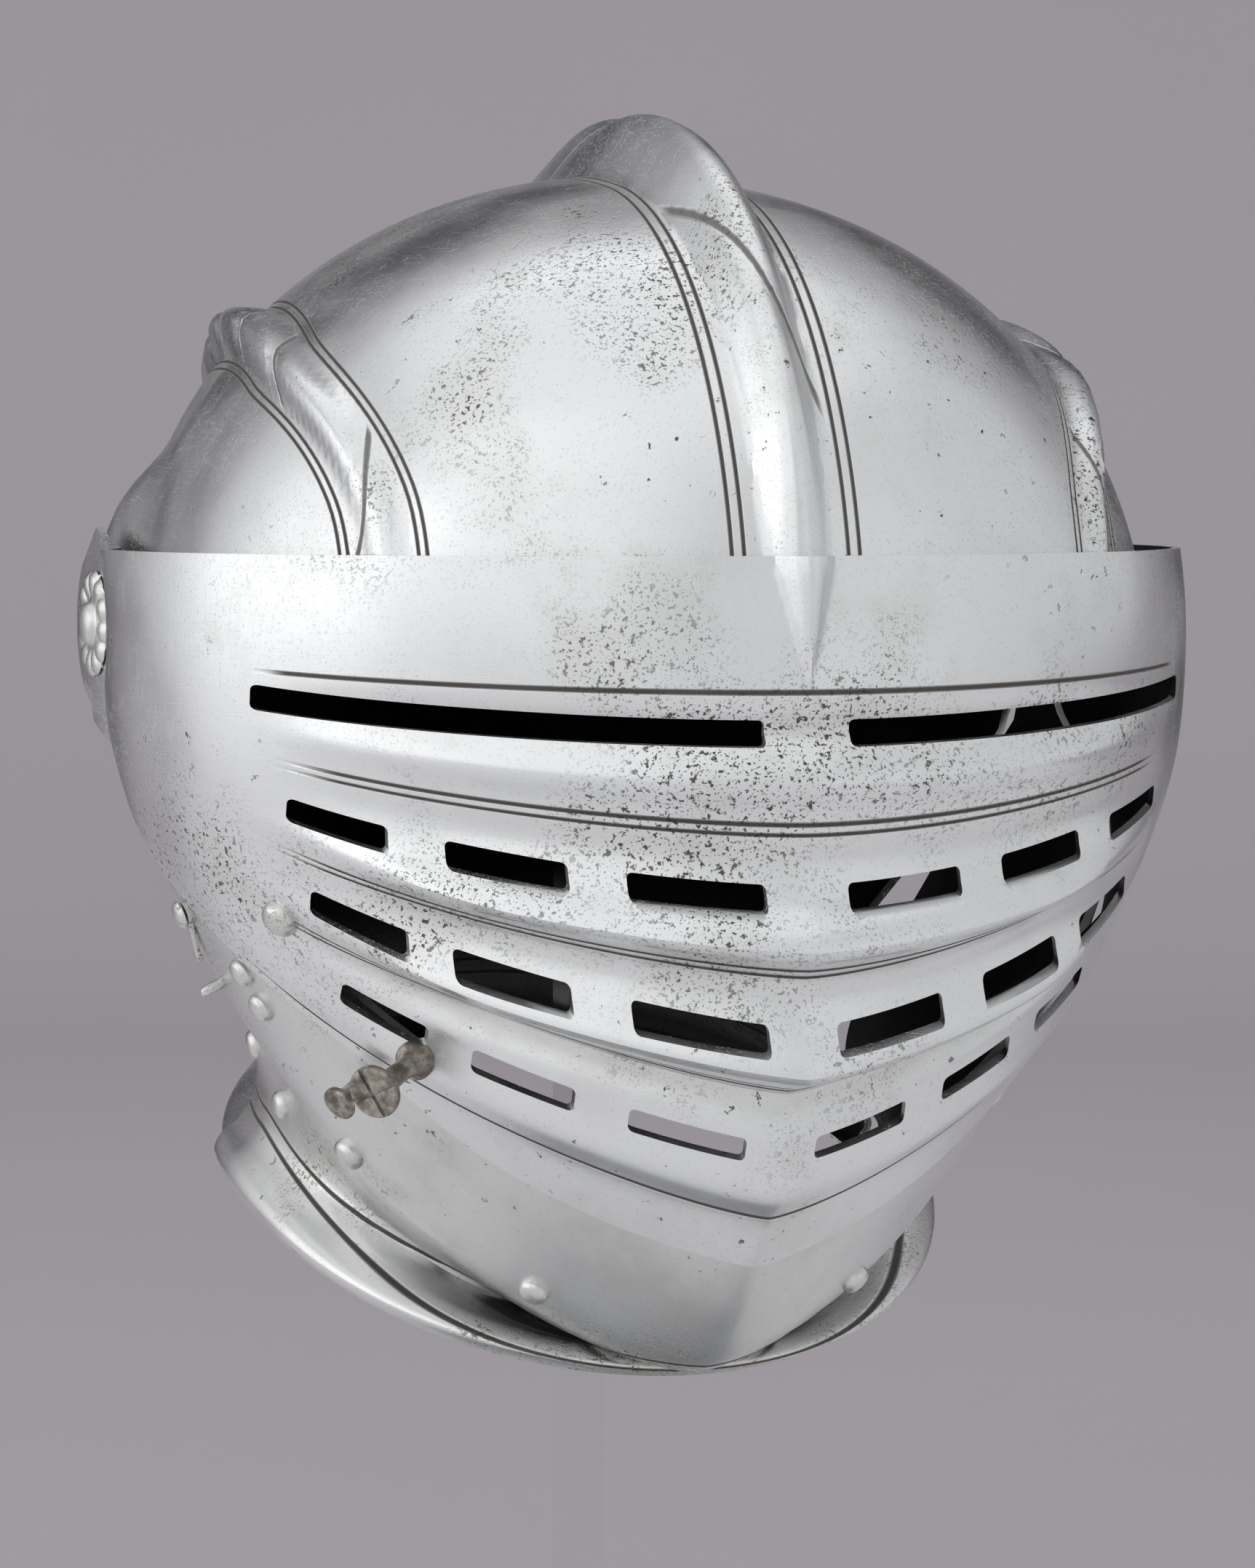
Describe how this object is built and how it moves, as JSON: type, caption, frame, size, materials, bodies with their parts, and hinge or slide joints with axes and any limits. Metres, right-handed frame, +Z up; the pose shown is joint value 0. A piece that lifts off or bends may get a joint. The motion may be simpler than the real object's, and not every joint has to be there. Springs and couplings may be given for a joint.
{
  "type": "close helmet on a post stand",
  "caption": "Steel close helmet with a ridged, slotted visor and a chin plate that both lift on side pivots, on a plain clear post stand.",
  "frame": {"origin": "centre of the stand's underside, straight below the middle of the pivot axis", "axes": "+X to the wearer's left, -Y to the helmet's front, +Z up"},
  "size_m": [0.223, 0.2631, 0.3744],
  "materials": {
    "skull_steel": "polished silvery steel with fine scratches and scattered dark pits",
    "visor_steel": "polished silvery steel with fine scratches and scattered dark pits",
    "bevor_steel": "polished silvery steel, a little duller than the visor",
    "rivet_steel": "worn satin steel",
    "browned_steel": "browned, rubbed bright on the edges",
    "clear_acrylic": "clear, polished faces and edges"
  },
  "bodies": {
    "helmet_and_stand": {"skull": "skull_steel", "pivot_right": "rivet_steel", "pivot_left": "rivet_steel", "post": "clear_acrylic", "base_plate": "clear_acrylic"},
    "bevor_plate": {"bevor": "bevor_steel", "bevor_rivet_1": "rivet_steel", "bevor_rivet_2": "rivet_steel", "bevor_rivet_3": "rivet_steel", "bevor_rivet_4": "rivet_steel", "bevor_rivet_5": "rivet_steel", "bevor_rivet_6": "rivet_steel", "bevor_rivet_7": "rivet_steel", "bevor_rivet_8": "rivet_steel", "bevor_rivet_9": "rivet_steel", "hook_rivet": "rivet_steel", "hook_pin": "rivet_steel"},
    "visor_plate": {"visor": "visor_steel", "visor_rivet": "rivet_steel", "lifting_peg": "browned_steel"},
    "hook": {"swivel_hook": "rivet_steel"},
    "button": {"catch_button": "browned_steel"}
  },
  "joints": [
    {"name": "bevor_lift", "type": "hinge", "parent": "helmet_and_stand", "child": "bevor_plate", "pos_m": [0, 0, 0.27], "axis": [-1, 0, 0], "range_deg": [0, 30]},
    {"name": "visor_lift", "type": "hinge", "parent": "bevor_plate", "child": "visor_plate", "pos_m": [0, 0, 0.27], "axis": [-1, 0, 0], "range_deg": [0, 45]},
    {"name": "hook_swivel", "type": "hinge", "parent": "bevor_plate", "child": "hook", "pos_m": [-0.09458, -0.04166, 0.21314], "axis": [-0.9446, -0.052, -0.3242], "range_deg": [-60, 45]},
    {"name": "button_press", "type": "slide", "parent": "bevor_plate", "child": "button", "axis": [0.761, 0.3905, 0.5181], "range_m": [0, 0.003], "stiffness_N_per_m": 300, "springref_m": -0.001}
  ]
}
